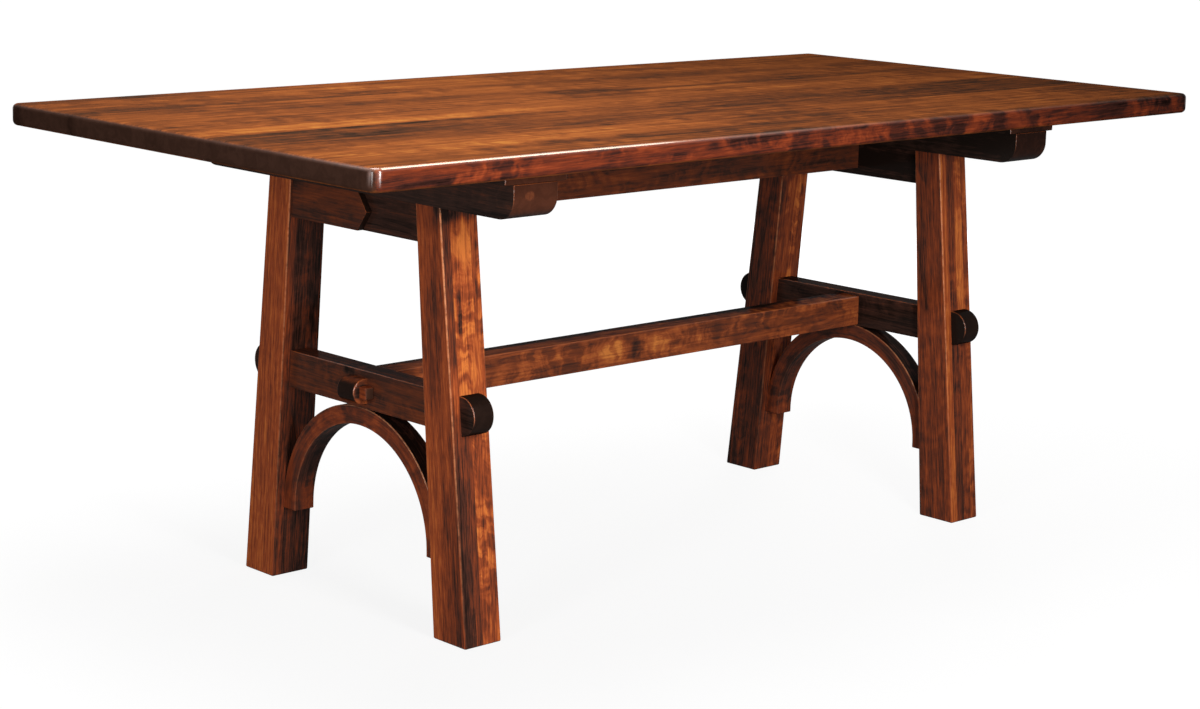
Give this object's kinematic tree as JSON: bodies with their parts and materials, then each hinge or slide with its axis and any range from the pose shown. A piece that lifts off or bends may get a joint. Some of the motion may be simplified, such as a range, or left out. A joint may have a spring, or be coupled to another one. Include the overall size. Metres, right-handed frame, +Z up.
{
  "type": "trestle dining table",
  "caption": "Rectangular wooden trestle dining table: splayed legs, arched braces, a keyed stretcher and a long upper rail under a planked top.",
  "frame": {"origin": "on the floor under the middle of the top", "axes": "+X along the length of the top, +Y across it towards the back long side, +Z up"},
  "size_m": [1.829, 0.914, 0.762],
  "materials": {
    "top_wood": "stained figured hardwood planks under satin-gloss lacquer",
    "leg_wood": "stained figured hardwood under satin-gloss lacquer",
    "rail_wood": "stained straight-grained hardwood under satin lacquer, end grain nearly black",
    "arch_wood": "stained hardwood under satin lacquer",
    "bearer_wood": "dark stained hardwood under satin lacquer",
    "key_wood": "stained hardwood, waxed, with dark end grain",
    "dowel_wood": "plain unstained hardwood dowel",
    "screw_steel": "zinc-plated steel"
  },
  "bodies": {
    "table": {"top_plank_back": "top_wood", "top_plank_mid_back": "top_wood", "top_plank_centre": "top_wood", "top_plank_mid_front": "top_wood", "top_plank_front": "top_wood", "left_front_leg_outer_board": "leg_wood", "left_front_leg_inner_board": "leg_wood", "left_front_leg_core_upper": "leg_wood", "left_front_leg_core_lower": "leg_wood", "left_back_leg_outer_board": "leg_wood", "left_back_leg_inner_board": "leg_wood", "left_back_leg_core_upper": "leg_wood", "left_back_leg_core_lower": "leg_wood", "left_upper_cross_rail": "rail_wood", "left_pointed_lap": "rail_wood", "left_lower_rail": "rail_wood", "left_arch": "arch_wood", "left_arch_dowels": "dowel_wood", "left_bearer": "bearer_wood", "left_cleat_strip": "bearer_wood", "left_top_screws": "screw_steel", "left_cleat_screws": "screw_steel", "right_front_leg_outer_board": "leg_wood", "right_front_leg_inner_board": "leg_wood", "right_front_leg_core_upper": "leg_wood", "right_front_leg_core_lower": "leg_wood", "right_back_leg_outer_board": "leg_wood", "right_back_leg_inner_board": "leg_wood", "right_back_leg_core_upper": "leg_wood", "right_back_leg_core_lower": "leg_wood", "right_upper_cross_rail": "rail_wood", "right_pointed_lap": "rail_wood", "right_lower_rail": "rail_wood", "right_arch": "arch_wood", "right_arch_dowels": "dowel_wood", "right_bearer": "bearer_wood", "right_cleat_strip": "bearer_wood", "right_top_screws": "screw_steel", "right_cleat_screws": "screw_steel", "stretcher": "rail_wood", "long_rail": "rail_wood"},
    "left_key": {"left_tusk_key": "key_wood"},
    "right_key": {"right_tusk_key": "key_wood"}
  },
  "joints": [
    {"name": "left_key_slide", "type": "slide", "parent": "table", "child": "left_key", "axis": [0, -1, 0], "range_m": [0, 0.08]},
    {"name": "right_key_slide", "type": "slide", "parent": "table", "child": "right_key", "axis": [0, 1, 0], "range_m": [0, 0.08]}
  ]
}
